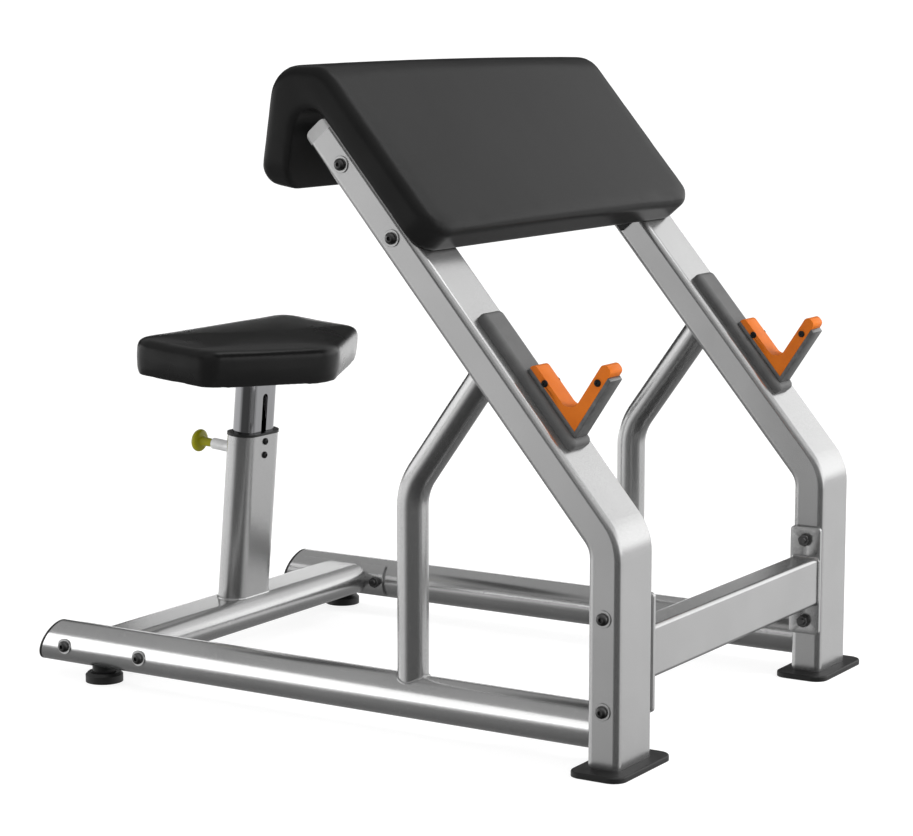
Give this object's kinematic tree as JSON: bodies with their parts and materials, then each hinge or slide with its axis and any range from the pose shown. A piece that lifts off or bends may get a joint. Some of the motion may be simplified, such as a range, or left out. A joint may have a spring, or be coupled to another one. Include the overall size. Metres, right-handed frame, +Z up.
{
  "type": "preacher curl bench",
  "caption": "Preacher curl bench: sloped wrap-over arm pad on bent uprights with lined bar hooks, floor rails, rear cross tube and a pin-adjusted seat.",
  "frame": {"origin": "on the floor, under the middle of the overall box", "axes": "+X forward, from the seat to the bar hooks; +Y to the user's left; +Z up"},
  "size_m": [1.0442, 0.796, 0.9375],
  "materials": {
    "silver_paint": "satin",
    "silver_plastic": "satin",
    "chrome": "polished",
    "dark_plate": "satin",
    "black_rubber": "matte",
    "black_plastic": "satin",
    "grey_guard": "matte",
    "black_steel": "satin",
    "grey_steel": "satin",
    "orange_liner": "satin",
    "yellow_knob": "satin",
    "arm_vinyl": "satin",
    "seat_vinyl": "satin",
    "plywood": "matte"
  },
  "bodies": {
    "frame": {"arm_pad_cushion": "arm_vinyl", "beam_bolts": "dark_plate", "beam_nuts": "dark_plate", "flap_board": "plywood", "front_crossbeam": "silver_paint", "guide_screws": "black_steel", "hook_screws": "black_steel", "left_bar_guard": "grey_guard", "left_base_rail": "silver_paint", "left_beam_plate": "silver_paint", "left_brace": "silver_paint", "left_foot_boss": "silver_paint", "left_foot_plate": "black_steel", "left_front_foot": "black_rubber", "left_hook_bracket": "grey_steel", "left_hook_liner": "orange_liner", "left_pad_angle": "black_steel", "left_rail_cap": "black_plastic", "left_rear_foot": "black_rubber", "left_saddle": "silver_paint", "left_upright": "silver_paint", "left_upright_cap": "silver_plastic", "pad_bolts": "dark_plate", "pad_nuts": "dark_plate", "pad_screws": "black_steel", "plunger_barrel": "chrome", "rear_cross_tube": "silver_paint", "rear_foot_screws": "black_steel", "right_bar_guard": "grey_guard", "right_base_rail": "silver_paint", "right_beam_plate": "silver_paint", "right_brace": "silver_paint", "right_foot_boss": "silver_paint", "right_foot_plate": "black_steel", "right_front_foot": "black_rubber", "right_hook_bracket": "grey_steel", "right_hook_liner": "orange_liner", "right_pad_angle": "black_steel", "right_rail_cap": "black_plastic", "right_rear_foot": "black_rubber", "right_saddle": "silver_paint", "right_upright": "silver_paint", "right_upright_cap": "silver_plastic", "saddle_bolts": "dark_plate", "saddle_nuts": "dark_plate", "seat_sleeve": "silver_paint", "sleeve_collar": "black_plastic", "slope_board": "plywood"},
    "seat": {"seat_post": "chrome", "post_glide": "black_plastic", "seat_plate": "black_steel", "seat_board": "plywood", "seat_cushion": "seat_vinyl", "seat_screws": "black_steel"},
    "pull_pin": {"pin_shaft": "chrome", "pull_knob": "yellow_knob"}
  },
  "joints": [
    {"name": "seat_height", "type": "slide", "parent": "frame", "child": "seat", "axis": [0.0872, 0, 0.9962], "range_m": [-0.05, 0.1]},
    {"name": "pin_pull", "type": "slide", "parent": "frame", "child": "pull_pin", "axis": [-0.9962, 0, 0.0872], "range_m": [-0.01, 0]}
  ]
}
